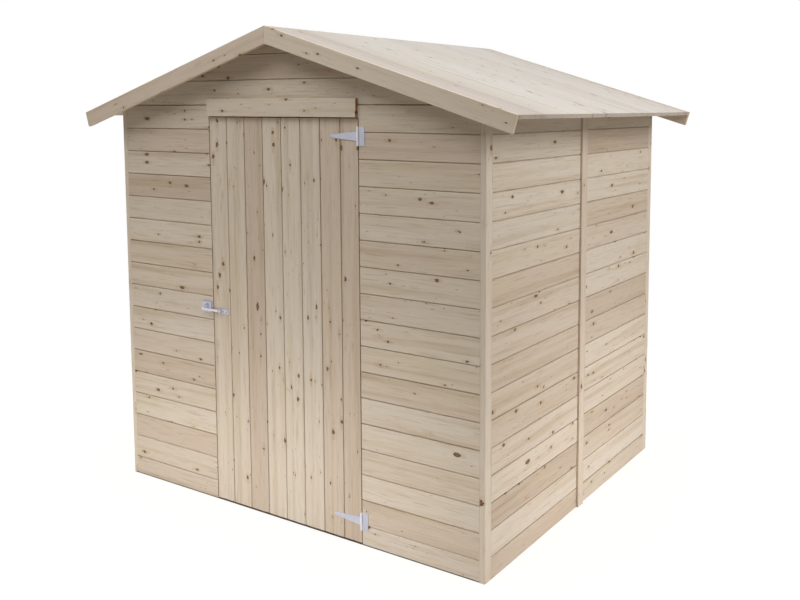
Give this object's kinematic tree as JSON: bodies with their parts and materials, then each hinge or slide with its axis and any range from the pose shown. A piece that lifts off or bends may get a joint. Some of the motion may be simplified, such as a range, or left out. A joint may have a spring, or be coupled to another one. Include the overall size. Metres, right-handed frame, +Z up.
{
  "type": "wooden garden shed",
  "caption": "Small gable-roofed garden shed of planed softwood boards on light framing, with an outward-opening ledged door on tee hinges, shut by a hasp and staple.",
  "frame": {"origin": "on the ground under the middle of the plan", "axes": "+X to the right of someone facing the door, +Y from the door wall to the rear, +Z up"},
  "size_m": [2.455, 1.906, 2.22],
  "materials": {
    "wall_boards": "planed untreated spruce, matt",
    "door_boards": "planed untreated spruce, matt",
    "roof_boards": "planed untreated spruce, matt",
    "trim": "planed untreated spruce, matt",
    "framing": "sawn and planed untreated spruce, matt",
    "galvanised_steel": "bright zinc plate, satin"
  },
  "bodies": {
    "shed": {"front_wall_left": "wall_boards", "front_wall_right": "wall_boards", "front_gable": "wall_boards", "left_wall_front": "wall_boards", "left_wall_rear": "wall_boards", "right_wall_front": "wall_boards", "right_wall_rear": "wall_boards", "rear_wall_left": "wall_boards", "rear_wall_right": "wall_boards", "rear_gable": "wall_boards", "corner_post_front_left": "trim", "corner_post_front_right": "trim", "corner_post_rear_left": "trim", "corner_post_rear_right": "trim", "left_batten": "trim", "right_batten": "trim", "rear_batten": "trim", "front_studs": "framing", "left_studs": "framing", "right_studs": "framing", "rear_studs": "framing", "sole_plates": "framing", "top_plates": "framing", "door_lintel": "framing", "door_stops": "framing", "gable_rafters": "framing", "ridge_beam": "framing", "roof_purlins": "framing", "roof_left": "roof_boards", "roof_right": "roof_boards", "bargeboard_front_left": "trim", "bargeboard_front_right": "trim", "bargeboard_rear_left": "trim", "bargeboard_rear_right": "trim", "door_header": "trim", "hinge_flap_bottom": "galvanised_steel", "hinge_flap_top": "galvanised_steel", "hasp_staple": "galvanised_steel"},
    "door": {"door_boards": "door_boards", "door_ledges": "framing", "door_braces": "framing", "hinge_strap_bottom": "galvanised_steel", "hinge_strap_top": "galvanised_steel", "hasp_plate": "galvanised_steel"},
    "hasp": {"hasp_strap": "galvanised_steel"}
  },
  "joints": [
    {"name": "door_hinge", "type": "hinge", "parent": "shed", "child": "door", "pos_m": [0.438, -0.873, 0.93], "axis": [0, 0, 1], "range_deg": [0, 170]},
    {"name": "hasp_hinge", "type": "hinge", "parent": "door", "child": "hasp", "pos_m": [-0.3905, -0.8735, 0.923], "axis": [0, 0, 1], "range_deg": [0, 150]}
  ]
}
